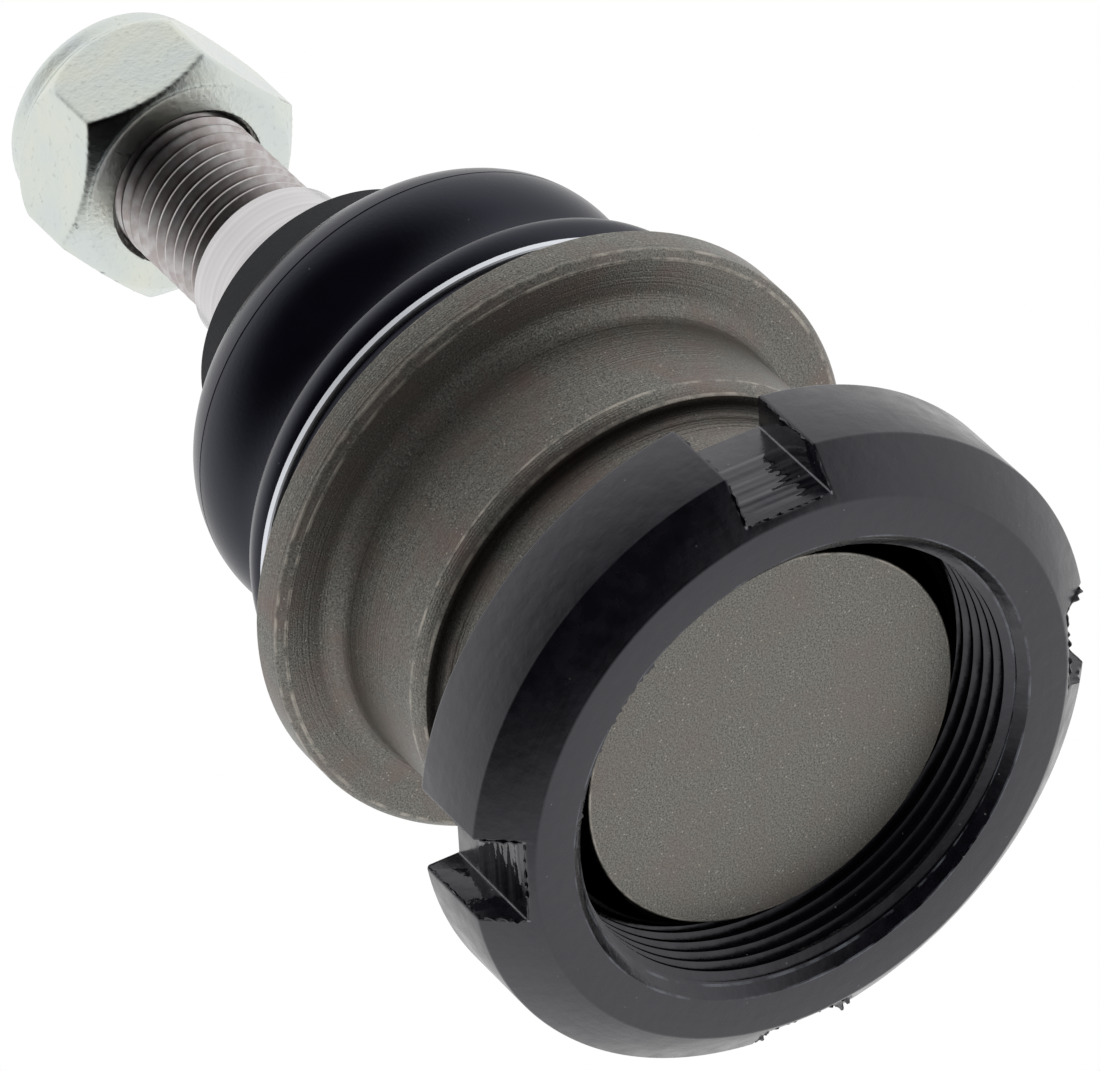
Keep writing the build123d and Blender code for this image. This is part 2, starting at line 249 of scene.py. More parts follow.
def phosphated_steel():
    """Turned steel under a thin grey phosphate coat.

    Mostly metal to the eye, so it darkens where it faces a dark room, with a fine speckle of dull
    crystals and a few that glint. Turning marks show on the flange and barrel, oil has stained it
    brown and the edges are scuffed bright. The corners under the step are darkened with painted
    shade, and painted shade turns the nose nearly black below the thread's top, in the ring nut's bore.
    """
    material, tree, shader = new_material("phosphated_steel")
    place = add_node(tree, "TexCoord", {}, "Object")
    radius, height = radius_and_height(tree)
    # crystals are near 0.02 mm and are drawn at 0.16 mm so that they show
    crystals = add_node(tree, "TexNoise", {"Vector": place, "Scale": 1 / (0.16 * MM), "Detail": 2.0})
    shade = add_node(tree, "MapRange", {"Value": crystals, "From Min": 0.3, "From Max": 0.7})
    dark, light = linear("#52514d"), linear("#8c8b84")
    grey = add_node(tree, "Mix", {0: shade, 6: dark, 7: light}, 2, data_type="RGBA")
    stains = add_node(
        tree, "TexNoise", {"Vector": place, "Scale": 1 / (6 * MM), "Detail": 5.0, "Roughness": 0.65}
    )
    stained = add_node(
        tree, "MapRange", {"Value": stains, "From Min": 0.43, "From Max": 0.68, "To Max": 0.85}
    )
    barrel = add_node(
        tree, "MapRange", {"Value": height, "From Min": TURNED_Z * MM, "From Max": (TURNED_Z + 2) * MM}
    )
    oil = add_node(tree, "MapRange", {"Value": barrel, "To Min": 0.45})
    oiled = add_node(tree, "Math", {0: stained, 1: oil}, operation="MULTIPLY")
    brown = add_node(tree, "Mix", {0: oiled, 6: grey, 7: linear("#786a64")}, 2, data_type="RGBA")
    grains = add_node(tree, "TexVoronoi", {"Vector": place, "Scale": 1 / (0.5 * MM)}, "Distance")
    glints = add_node(tree, "MapRange", {"Value": grains, "From Min": 0.2, "From Max": 0.1})
    chance = add_node(tree, "TexNoise", {"Vector": place, "Scale": 1 / (1.1 * MM), "Detail": 1.0})
    glint_here = add_node(tree, "MapRange", {"Value": chance, "From Min": 0.5, "From Max": 0.6})
    few = add_node(tree, "Math", {0: glints, 1: glint_here}, operation="MULTIPLY")
    speckled = add_node(tree, "Mix", {0: few, 6: brown, 7: linear("#aaa59b")}, 2, data_type="RGBA")
    edge_band = near_rings(tree, HOUSING_EDGES, 0.22)
    scuffs = add_node(tree, "TexNoise", {"Vector": place, "Scale": 1 / (1.5 * MM), "Detail": 4.0})
    broken = add_node(
        tree, "MapRange", {"Value": scuffs, "From Min": 0.4, "From Max": 0.62, "To Max": 0.65}
    )
    patchy = add_node(tree, "Math", {0: edge_band, 1: broken}, operation="MULTIPLY")
    with_edges = add_node(tree, "Mix", {0: patchy, 6: speckled, 7: linear("#bdb7ac")}, 2, data_type="RGBA")
    # painted shade: the corners under the step are darkened almost to black, where shade falls
    corners = near_rings(tree, HOUSING_SHADED_CORNERS, 1.0)
    painted_shade = add_node(tree, "Math", {0: corners, 1: 0.85}, operation="MULTIPLY")
    shaded_in_corners = add_node(tree, "Mix", {0: painted_shade, 6: with_edges, 7: linear("#191716")}, 2, data_type="RGBA")
    # painted shade: outside the nose and below the thread's top, deep in the ring nut's bore, the steel is
    # painted nearly black
    outside_nose = add_node(
        tree, "MapRange",
        {"Value": radius, "From Min": (NOSE_R - 0.12) * MM, "From Max": (NOSE_R - 0.04) * MM},
    )
    low = add_node(tree, "Math", {0: height, 1: HOUSING_THREAD_TOP_Z * MM}, operation="LESS_THAN")
    shade_in_bore = add_node(tree, "Math", {0: outside_nose, 1: low}, operation="MULTIPLY")
    colour = add_node(tree, "Mix", {0: shade_in_bore, 6: shaded_in_corners, 7: linear("#050506")}, 2, data_type="RGBA")
    marks = turning_marks(tree, 0.22)
    shown = add_node(tree, "Math", {0: marks, 1: barrel}, operation="MULTIPLY")
    lines = add_node(tree, "Bump", {"Height": shown, "Distance": 0.04 * MM})
    rough = add_node(tree, "Bump", {"Height": crystals, "Distance": 0.03 * MM, "Normal": lines})
    feed(tree, shader, {"Base Color": colour, "Metallic": 0.8, "Roughness": 0.36, "Normal": rough})
    return material


def black_paint():
    """Black dip paint on turned and milled steel.

    Satin, faintly violet, with the turning marks just showing through, orange peel and a few pale
    specks. The cutter's marks run across the slot floors.
    """
    material, tree, shader = new_material("black_paint")
    place = add_node(tree, "TexCoord", {}, "Object")
    peel = add_node(tree, "TexNoise", {"Vector": place, "Scale": 1 / (1.6 * MM), "Detail": 3.0})
    dark, light = linear("#050407"), linear("#0f0d13")
    colour = add_node(tree, "Mix", {0: peel, 6: dark, 7: light}, 2, data_type="RGBA")
    dust = add_node(tree, "TexVoronoi", {"Vector": place, "Scale": 1 / (1.7 * MM)}, "Distance")
    specks = add_node(tree, "MapRange", {"Value": dust, "From Min": 0.06, "From Max": 0.03, "To Max": 0.6})
    dusty = add_node(tree, "Mix", {0: specks, 6: colour, 7: linear("#6d6b70")}, 2, data_type="RGBA")
    # painted highlight: a broken pale line along the edges of the bore's mouth stands in for light catching
    # them
    edge_band = near_rings(tree, RING_HIGHLIGHT_EDGES, 0.15)
    highlight_noise = add_node(tree, "TexNoise", {"Vector": place, "Scale": 1 / (3 * MM), "Detail": 5.0})
    highlight_breaks = add_node(tree, "MapRange", {"Value": highlight_noise, "From Min": 0.45, "From Max": 0.6, "To Max": 0.4})
    patchy = add_node(tree, "Math", {0: edge_band, 1: highlight_breaks}, operation="MULTIPLY")
    with_edges = add_node(tree, "Mix", {0: patchy, 6: dusty, 7: linear("#7e848c")}, 2, data_type="RGBA")
    radius = radius_and_height(tree)[0]
    facing = add_node(tree, "TexCoord", {}, "Normal")
    upright = add_node(tree, "SeparateXYZ", {0: facing}, "Z")
    wall = add_node(tree, "Math", {0: upright, 1: 0.0, 2: 0.1}, operation="COMPARE")
    inside = add_node(tree, "Math", {0: radius, 1: (RING_R - 0.25) * MM}, operation="LESS_THAN")
    in_slot = add_node(tree, "Math", {0: wall, 1: inside}, operation="MULTIPLY")
    # the plan is folded on its axes and diagonals, so that the four slots lie on one another
    folded = add_node(tree, "VectorMath", {0: place}, operation="ABSOLUTE")
    folded_x = add_node(tree, "SeparateXYZ", {0: folded}, "X")
    folded_y = add_node(tree, "SeparateXYZ", {0: folded}, "Y")
    along = add_node(tree, "Math", {0: folded_x, 1: folded_y}, operation="MAXIMUM")
    across = add_node(tree, "Math", {0: folded_x, 1: folded_y}, operation="MINIMUM")
    in_plan = add_node(tree, "CombineXYZ", {"X": along, "Y": across})
    # painted highlight: a pale line along the inner corner where each slot's floor meets its walls
    corner = (SLOT_FLOOR_R * MM, SLOT_WIDTH / 2 * MM, 0)
    gap = add_node(tree, "VectorMath", {0: in_plan, 1: corner}, "Value", operation="DISTANCE")
    corner_highlight = add_node(
        tree, "MapRange",
        {"Value": gap, "From Min": 0.06 * MM, "From Max": 0.16 * MM, "To Min": 0.5, "To Max": 0.0},
    )
    with_corner_highlight = add_node(tree, "Mix", {0: corner_highlight, 6: with_edges, 7: linear("#a3a2a8")}, 2, data_type="RGBA")
    satin = add_node(
        tree, "MapRange",
        {"Value": peel, "From Min": 0.3, "From Max": 0.7, "To Min": 0.2, "To Max": 0.32},
    )
    gloss = add_node(tree, "Mix", {0: in_slot, 2: satin, 3: 0.09}, 0, data_type="FLOAT")
    marks = turning_marks(tree, 0.7)
    lines = add_node(tree, "Bump", {"Height": marks, "Distance": 0.008 * MM})
    uneven = add_node(tree, "Bump", {"Height": peel, "Distance": 0.05 * MM, "Normal": lines})
    on_floor = add_node(
        tree, "Math", {0: radius, 1: (SLOT_FLOOR_R + 0.15) * MM, 2: 0.25 * MM}, operation="COMPARE"
    )
    floor = add_node(tree, "Math", {0: on_floor, 1: wall}, operation="MULTIPLY")
    # the cutter left lines about 1.3 mm apart and 17 mm long
    lines_a_metre = (0.06 / MM, 0.06 / MM, 0.75 / MM)
    stretched = add_node(tree, "Mapping", {"Vector": place, "Scale": lines_a_metre})
    cutter = add_node(tree, "TexNoise", {"Vector": stretched, "Scale": 1.0, "Detail": 1.0})
    milled = add_node(tree, "Math", {0: cutter, 1: floor}, operation="MULTIPLY")
    normal = add_node(tree, "Bump", {"Height": milled, "Distance": 0.4 * MM, "Normal": uneven})
    feed(tree, shader, {"Base Color": with_corner_highlight, "Roughness": gloss, "IOR": 1.55, "Normal": normal})
    feed(tree, shader, {"Specular IOR Level": 0.68, "Specular Tint": linear("#f4f3fd")})
    return material


def bright_steel():
    """Bare steel, ground on the taper and rolled on the thread.

    Bright on the taper with fine rings, softer, patchy and a little pink on the thread; painted shade
    darkens the bottom of the thread.
    """
    material, tree, shader = new_material("bright_steel")
    marks = turning_marks(tree, 0.4, 3.0)
    radius = radius_and_height(tree)[0]
    dark, light = linear("#bdb9ba"), linear("#dcdadb")
    ground = add_node(tree, "Mix", {0: marks, 6: dark, 7: light}, 2, data_type="RGBA")
    on_thread = add_node(
        tree, "MapRange",
        {"Value": radius, "From Min": (STUD_THREAD_R + 0.3) * MM, "From Max": STUD_THREAD_R * MM},
    )
    place = add_node(tree, "TexCoord", {}, "Object")
    patches = add_node(tree, "TexNoise", {"Vector": place, "Scale": 1 / (1.4 * MM), "Detail": 4.0})
    patchy = add_node(tree, "MapRange", {"Value": patches, "From Min": 0.42, "From Max": 0.6})
    dark, light = linear("#b7afae"), linear("#cbc8c7")
    rolled = add_node(tree, "Mix", {0: patchy, 6: dark, 7: light}, 2, data_type="RGBA")
    clean = add_node(tree, "Mix", {0: on_thread, 6: ground, 7: rolled}, 2, data_type="RGBA")
    # painted shade: the thread's roots are darkened, where shade falls in the grooves
    above_root = add_node(tree, "Math", {0: radius, 1: THREAD_ROOT_R * MM}, operation="SUBTRACT")
    from_root = add_node(tree, "Math", {0: above_root}, operation="ABSOLUTE")
    painted_root_shade = add_node(tree, "MapRange", {"Value": from_root, "From Min": 0.25 * MM, "From Max": 0.0})
    colour = add_node(tree, "Mix", {0: painted_root_shade, 6: clean, 7: linear("#4d4443")}, 2, data_type="RGBA")
    rough = add_node(tree, "MapRange", {"Value": on_thread, "To Min": 0.2, "To Max": 0.33})
    lines = add_node(tree, "Bump", {"Height": marks, "Distance": 0.004 * MM})
    feed(tree, shader, {"Base Color": colour, "Metallic": 1.0, "Roughness": rough, "Normal": lines})
    return material


def zinc_plate():
    """Zinc plating under a clear passivate.

    Pale and nearly white, with faint yellow and blue clouds, small dents from the barrel it was
    plated in, and grey grazes along its edges.
    """
    material, tree, shader = new_material("zinc_plate")
    place = add_node(tree, "TexCoord", {}, "Object")
    clouds = add_node(tree, "TexNoise", {"Vector": place, "Scale": 1 / (5 * MM), "Detail": 3.0})
    blue, yellow = linear("#cdd6dc"), linear("#e2e4d2")
    clouded = add_node(tree, "Mix", {0: clouds, 6: blue, 7: yellow}, 2, data_type="RGBA")
    dents = add_node(
        tree, "TexNoise", {"Vector": place, "Scale": 1 / (0.7 * MM), "Detail": 5.0, "Roughness": 0.65}
    )
    grazed = add_node(
        tree, "MapRange", {"Value": dents, "From Min": 0.58, "From Max": 0.72, "To Max": 0.35}
    )
    colour = add_node(tree, "Mix", {0: grazed, 6: clouded, 7: linear("#9a9e98")}, 2, data_type="RGBA")
    crease = add_node(tree, "NewGeometry", {}, "Pointiness")
    edge = add_node(tree, "MapRange", {"Value": crease, "From Min": 0.54, "From Max": 0.6, "To Max": 0.9})
    broken = add_node(tree, "MapRange", {"Value": dents, "From Min": 0.42, "From Max": 0.56})
    grazes = add_node(tree, "Math", {0: edge, 1: broken}, operation="MULTIPLY")
    with_edges = add_node(tree, "Mix", {0: grazes, 6: colour, 7: linear("#8c9190")}, 2, data_type="RGBA")
    dented = add_node(tree, "Bump", {"Height": dents, "Distance": 0.05 * MM})
    feed(tree, shader, {"Base Color": with_edges, "Metallic": 1.0, "Roughness": 0.24, "Normal": dented})
    return material


def spring_steel():
    """Bright drawn spring steel, bluish, with fine lines along the strip."""
    material, tree, shader = new_material("spring_steel")
    marks = turning_marks(tree, 0.15)
    dark, light = linear("#e2e6ee"), linear("#f6f8fc")
    colour = add_node(tree, "Mix", {0: marks, 6: dark, 7: light}, 2, data_type="RGBA")
    feed(tree, shader, {"Base Color": colour, "Metallic": 1.0, "Roughness": 0.45})
    return material


def gloss_rubber():
    """Chloroprene rubber from a polished mould: blue-black, with a soft gloss and a little bloom."""
    material, tree, shader = new_material("gloss_rubber")
    place = add_node(tree, "TexCoord", {}, "Object")
    bloom = add_node(tree, "TexNoise", {"Vector": place, "Scale": 1 / (4 * MM), "Detail": 4.0})
    dark, light = linear("#040407"), linear("#0a0a12")
    colour = add_node(tree, "Mix", {0: bloom, 6: dark, 7: light}, 2, data_type="RGBA")
    dust = add_node(tree, "TexVoronoi", {"Vector": place, "Scale": 1 / (2.2 * MM)}, "Distance")
    specks = add_node(tree, "MapRange", {"Value": dust, "From Min": 0.05, "From Max": 0.02, "To Max": 0.5})
    dusty = add_node(tree, "Mix", {0: specks, 6: colour, 7: linear("#585a60")}, 2, data_type="RGBA")
    fine = add_node(tree, "TexNoise", {"Vector": place, "Scale": 1 / (0.35 * MM), "Detail": 3.0})
    normal = add_node(tree, "Bump", {"Height": fine, "Distance": 0.012 * MM})
    feed(tree, shader, {"Base Color": dusty, "Roughness": 0.25, "IOR": 1.5, "Normal": normal})
    feed(tree, shader, {"Specular Tint": linear("#dfe4ff")})
    return material


def matte_rubber():
    """The same rubber from a blasted part of the mould: dull charcoal with a fine tooth."""
    material, tree, shader = new_material("matte_rubber")
    place = add_node(tree, "TexCoord", {}, "Object")
    tooth = add_node(tree, "TexNoise", {"Vector": place, "Scale": 1 / (0.25 * MM), "Detail": 4.0})
    dark, light = linear("#1f2022"), linear("#313235")
    colour = add_node(tree, "Mix", {0: tooth, 6: dark, 7: light}, 2, data_type="RGBA")
    normal = add_node(tree, "Bump", {"Height": tooth, "Distance": 0.04 * MM})
    feed(tree, shader, {"Base Color": colour, "Roughness": 0.75, "Normal": normal})
    return material


def natural_plastic(name, dark, light):
    """Unfilled acetal or nylon: milky, with a soft sheen and a faint cloud."""
    material, tree, shader = new_material(name)
    place = add_node(tree, "TexCoord", {}, "Object")
    cloud = add_node(tree, "TexNoise", {"Vector": place, "Scale": 1 / (2 * MM), "Detail": 3.0})
    colour = add_node(tree, "Mix", {0: cloud, 6: linear(dark), 7: linear(light)}, 2, data_type="RGBA")
    feed(tree, shader, {"Base Color": colour, "Roughness": 0.42})
    return material


# ---- housing -------------------------------------------------------------------------------------
NOSE_Z = bottom("housing")
COLLAR_TOP_Z = top("housing")
FLANGE_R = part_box("housing")[1].x / MM
FLANGE_SEAT_Z = 36.5
FLANGE_TOP_Z = 40.4
FLANGE_FACE_R = 26.85           # where the flange's seat ends in a slope
FLANGE_ROUND = 2.0              # between the barrel and the flange
COLLAR_R = 20.5
COLLAR_ROUND = 2.2              # of the edge that is rolled over the closing ring
COLLAR_BORE_R = 16.4
RECESS_R = 18.7                 # for the closing ring
RECESS_LOW_Z = 38.1
RECESS_TOP_Z = 43.9
CAVITY_R = 17.0                 # for the seat
CAVITY_LOW_Z = 13.5
NOSE_R = 17.4
NOSE_ROUND = 0.25
HOUSING_THREAD_LOW_Z = 8.0
HOUSING_THREAD_TOP_Z = 16.5
HOUSING_THREAD_R = 20.1
CORE_R = 19.2                   # under the thread
TURNED_Z = 19.0                 # above this turning marks show and stains are stronger
RELIEF_R = 19.9                 # from the thread to the step
STEP_Z = 23.3
STEP_R = 21.5
STEP_ROUND = 0.9                # between the relief and the step
BARREL_R = 22.0
BARREL_LOW_Z = 24.8
# edges that are scuffed bright, and corners darkened with painted shade, as (radius, height)
HOUSING_EDGES = [
    (NOSE_R - 0.1, NOSE_Z + 0.03), (STEP_R, STEP_Z + 0.2), (BARREL_R, BARREL_LOW_Z + 0.1),
    (FLANGE_FACE_R, FLANGE_SEAT_Z), (FLANGE_R, FLANGE_SEAT_Z + 0.65), (FLANGE_R, FLANGE_TOP_Z - 0.2),
]
HOUSING_SHADED_CORNERS = [(RELIEF_R + 0.4, STEP_Z), (RELIEF_R + STEP_ROUND, STEP_Z + 0.05)]


def make_housing():
    """Closed nose, thread, relief, barrel, flange, collar with its rolled edge, and the cavity."""
    edge = 0.3
    outline = [(0, NOSE_Z), (NOSE_R - NOSE_ROUND, NOSE_Z)]
    outline += arc((NOSE_R - NOSE_ROUND, NOSE_Z + NOSE_ROUND), NOSE_ROUND, -90, 0, 4)[1:]
    outline += [(NOSE_R, HOUSING_THREAD_LOW_Z), (CORE_R, HOUSING_THREAD_LOW_Z)]
    outline += [(CORE_R, HOUSING_THREAD_TOP_Z + 0.1), (RELIEF_R, HOUSING_THREAD_TOP_Z + 0.2)]
    outline += arc((RELIEF_R + STEP_ROUND, STEP_Z - STEP_ROUND), STEP_ROUND, 180, 90, 6)
    outline += [(STEP_R - 0.05, STEP_Z), (STEP_R + 0.05, STEP_Z + 0.1)]
    outline += [(BARREL_R, BARREL_LOW_Z), (BARREL_R, BARREL_LOW_Z + 0.15)]
    outline += arc((BARREL_R + FLANGE_ROUND, FLANGE_SEAT_Z - FLANGE_ROUND), FLANGE_ROUND, 180, 90, 8)
    outline += [(FLANGE_FACE_R - 0.05, FLANGE_SEAT_Z), (FLANGE_FACE_R + 0.05, FLANGE_SEAT_Z + 0.03)]
    outline += [(FLANGE_R - 0.03, FLANGE_SEAT_Z + 0.6), (FLANGE_R, FLANGE_SEAT_Z + 0.7)]
    outline += [(FLANGE_R, FLANGE_TOP_Z - edge), (FLANGE_R - edge, FLANGE_TOP_Z), (COLLAR_R, FLANGE_TOP_Z)]
    outline += arc((COLLAR_R - COLLAR_ROUND, COLLAR_TOP_Z - COLLAR_ROUND), COLLAR_ROUND, 0, 90, 8)
    outline += [(COLLAR_BORE_R, COLLAR_TOP_Z), (COLLAR_BORE_R, RECESS_TOP_Z)]
    outline += [(RECESS_R, RECESS_TOP_Z), (RECESS_R, RECESS_LOW_Z)]
    outline += [(CAVITY_R, RECESS_LOW_Z), (CAVITY_R, CAVITY_LOW_Z), (0, CAVITY_LOW_Z)]
    piece = turned("housing_body", outline)
    thread = thread_rod("housing_thread", HOUSING_THREAD_LOW_Z, HOUSING_THREAD_TOP_Z, HOUSING_THREAD_R, 128)
    join(piece, thread)
    finish_piece(piece, STEEL_COAT, "housing", "housing")


# ---- ring nut ------------------------------------------------------------------------------------
RING_TOP_Z = top("ring_nut")
RING_R = 29.3
RING_FACE_R = 25.35
RING_BEVEL = 3.3
RING_MOUTH_R = 21.7
MOUTH_STEP_R = 20.9
MOUTH_STEP_Z = 1.0
RING_CORE_R = 20.1              # a little inside the bore
RING_THREAD_R = 21.0            # roots of the bore's thread
SLOT_COUNT = 4
SLOT_WIDTH = 8.0
SLOT_FLOOR_R = 25.85
# edges of the bore's mouth that carry a painted highlight, as (radius, height)
RING_HIGHLIGHT_EDGES = [(RING_MOUTH_R, 0.0), (MOUTH_STEP_R, MOUTH_STEP_Z)]


def slot_cutter():
    """Blocks that cut the spanner slots."""
    bpy.ops.object.select_all(action="DESELECT")
    blocks = []
    depth = 10.0
    for turn in range(SLOT_COUNT):
        angle = turn * tau / SLOT_COUNT
        middle = (SLOT_FLOOR_R + depth / 2) * MM
        place = (middle * cos(angle), middle * sin(angle), RING_TOP_Z / 2 * MM)
        bpy.ops.mesh.primitive_cube_add(size=1, location=place, rotation=(0, 0, angle))
        block = bpy.context.object
        block.scale = (depth * MM, SLOT_WIDTH * MM, 2 * RING_TOP_Z * MM)
        blocks.append(block)
    join(*blocks)
    cutter = bpy.context.object
    bpy.ops.object.transform_apply(location=True, rotation=True, scale=True)
    return cutter


def burr(number, start, end, outward, height):
    """A ragged sliver of metal and paint that stands on an edge; its ends are in millimetres.

    Noise makes it rise and wander, tapering to both ends, and its number gives each its own noise.
    """
    spacing = 0.2
    rooted = -0.15                  # the sliver's foot is set this far into the metal
    thickness = 0.14
    sway = 0.12
    along_noise = 0.34              # from one step to the next
    across_noise = 7.3              # from one burr to the next
    lift = 0.12                     # added to the noise, so that more than half of it stands up
    bpy.ops.object.select_all(action="DESELECT")
    steps = max(6, round((end - start).length / spacing))
    bpy.ops.mesh.primitive_grid_add(x_subdivisions=steps, y_subdivisions=1, size=1)
    piece = bpy.context.object
    piece.name = piece.data.name = "burr"
    sideways = (end - start).cross(outward).normalized()
    for vertex in piece.data.vertices:
        share = vertex.co.x + 0.5
        seed = Vector((share * steps * along_noise, number * across_noise, 0.0))
        wave = max(0.0, noise.noise(seed) + lift)
        rise = wave * height * min(1.0, 8 * share, 8 * (1 - share)) if vertex.co.y > 0 else rooted
        wander = noise.noise(seed + Vector((0, 0, 5))) * sway
        vertex.co = (start.lerp(end, share) + outward * rise + sideways * wander) * MM
    apply_modifier(piece, "SOLIDIFY", thickness=thickness * MM, offset=0.0)
    bpy.ops.object.mode_set(mode="EDIT")
    bpy.ops.mesh.select_all(action="SELECT")
    bpy.ops.mesh.normals_make_consistent(inside=False)
    bpy.ops.object.mode_set(mode="OBJECT")
    return piece


def slot_burrs():
    """Burrs on the edges where the cutter left each slot, none of them beyond the ring's own reach."""
    half = SLOT_WIDTH / 2
    side_x = sqrt(RING_R**2 - half**2)
    face_x = sqrt(RING_FACE_R**2 - half**2)
    slope = (RING_R - RING_FACE_R) / RING_BEVEL
    floor_z = (SLOT_FLOOR_R - face_x) / slope
    bevel_out = Vector((RING_BEVEL, 0, RING_FACE_R - RING_R)).normalized()
    burrs = []
    for turn in range(SLOT_COUNT):
        spin = Euler((0, 0, turn * tau / SLOT_COUNT)).to_matrix()
        corners = [Vector((SLOT_FLOOR_R, side, floor_z)) for side in (-half, half)]
        edges = [(*corners, bevel_out, 0.5)]
        for corner in corners:
            side = corner.y
            across = Vector((0, -side, 0)).normalized()
            outer = Vector((side_x - 0.4, side, RING_BEVEL - 0.35))
            low = Vector((side_x - 0.2, side, RING_BEVEL))
            back = Vector((side_x - 0.2, side, RING_TOP_Z - 0.3))
            edges += [(corner, outer, bevel_out, 0.7), (low, back, across, 0.4)]
        for start, end, outward, height in edges:
            burrs.append(burr(len(burrs), spin @ start, spin @ end, spin @ outward, height))
    return burrs


def mouth_burrs():
    """Burrs where the thread breaks out into the bore's mouth, on one side of it."""
    first, last, step = -86, -38, 6
    reach = RING_MOUTH_R - 0.45
    burrs = []
    for angle in range(first, last, step):
        ends = (radians(angle), radians(angle + step))
        start, end = (Vector((reach * cos(a), reach * sin(a), 0.5)) for a in ends)
        inward = Vector((-start.x - end.x, -start.y - end.y, 0)).normalized()
        burrs.append(burr(angle, start, end, inward, 0.7))
    return burrs


def make_ring_nut():
    """Bevelled ring with four spanner slots, a threaded bore and ragged slot edges."""
    edge = 0.3
    outline = [(0, 0), (RING_FACE_R, 0), (RING_R, RING_BEVEL), (RING_R, RING_TOP_Z - edge)]
    outline += [(RING_R - edge, RING_TOP_Z), (0, RING_TOP_Z)]
    piece = turned("ring_nut_body", outline, 256)
    cut_away(piece, slot_cutter())
    apply_modifier(
        piece, "BEVEL", width=0.16 * MM, segments=2, limit_method="ANGLE", angle_limit=radians(28)
    )
    cut_away(piece, thread_rod("ring_thread", -1, RING_TOP_Z + 1, RING_THREAD_R, 192))
    depth = 1.5
    cone = [(0, -1), (RING_MOUTH_R + 1, -1), (RING_MOUTH_R, 0)]
    cone += [(MOUTH_STEP_R, MOUTH_STEP_Z), (RING_CORE_R, depth), (0, depth)]
    cut_away(piece, turned("mouth", cone, 192))
    low = RING_TOP_Z - 1.6
    cone = [(0, low), (RING_CORE_R, low), (RING_MOUTH_R, RING_TOP_Z)]
    cone += [(RING_MOUTH_R + 1, RING_TOP_Z + 1), (0, RING_TOP_Z + 1)]
    cut_away(piece, turned("back_mouth", cone, 192))
    join(piece, *slot_burrs(), *mouth_burrs())
    finish_piece(piece, BLACK, "ring_nut", "ring_nut", 28)


# ---- boot ----------------------------------------------------------------------------------------
BAND_LOW_Z = bottom("boot_band")
BAND_TOP_Z = top("boot_band")
BAND_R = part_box("boot_band")[1].x / MM
BAND_THICKNESS = 0.75
BAND_BORE_R = BAND_R - BAND_THICKNESS
BOOT_LOW_Z = bottom("boot")
BOOT_TOP_Z = top("boot")
BEAD_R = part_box("boot")[1].x / MM
BEAD_ROUND = 2.5
BEAD_Z = 46.9
BEAD_PARTING = 30               # degrees up the bead's round to the mould's parting line
GROOVE_R = 19.3
GROOVE_ROUND = 2.35
BULGE_R = 21.7
BULGE_ROUND = 6.5
BULGE_Z = 59.35
BULGE_PARTING = 8               # and up the bulge's round
BOOT_WALL = 1.9
BOOT_BORE_R = COLLAR_R + 0.05
BOOT_RIM_R = 23.6
LIP_R = 13.4
LIP_BASE_R = 12.0               # where the lip grows out of the bulge
LIP_LOW_R = 8.85                # the lip lies on the stud's taper
LIP_TOP_R = 8.4
LEAN_ANGLE = radians(57)
BOOT_LEAN = Vector((cos(LEAN_ANGLE), sin(LEAN_ANGLE), 0)) * 0.6 * MM  # the bellows sit to one side


def make_band():
    """Bright strip round the foot of the boot."""
    edge = 0.12
    outline = [(BAND_BORE_R, BAND_LOW_Z), (BAND_R - edge, BAND_LOW_Z), (BAND_R, BAND_LOW_Z + edge)]
    outline += [(BAND_R, BAND_TOP_Z - edge), (BAND_R - edge, BAND_TOP_Z), (BAND_BORE_R, BAND_TOP_Z)]
    piece = turned("boot_band_ring", outline + outline[:1])
    finish_piece(piece, BAND, "housing", "boot_band")


def lean(piece):
    """Moves the bellows a little to one side, and leaves the clamped foot where it is.

    The move grows over 3 mm above the band and dies away over the last 6 mm of the boot's bulge.
    """
    still_z = 67                    # nothing moves from here up
    for vertex in piece.data.vertices:
        z = vertex.co.z / MM
        rise = min(max((z - BAND_TOP_Z) / 3, 0), 1)
        fall = min(max((still_z - z) / 6, 0), 1)
        vertex.co += BOOT_LEAN * rise**2 * (3 - 2 * rise) * fall**2 * (3 - 2 * fall)


def parting_line(centre, radius, angle):
    """Points of the thin groove that the mould's joint leaves on a round."""
    half_width = 0.09
    depth = 0.12
    spread = degrees(half_width / radius)
    first, last = arc(centre, radius, angle - spread, angle + spread, 1)
    floor = arc(centre, radius - depth, angle, angle, 1)[0]
    return [first, floor, last]


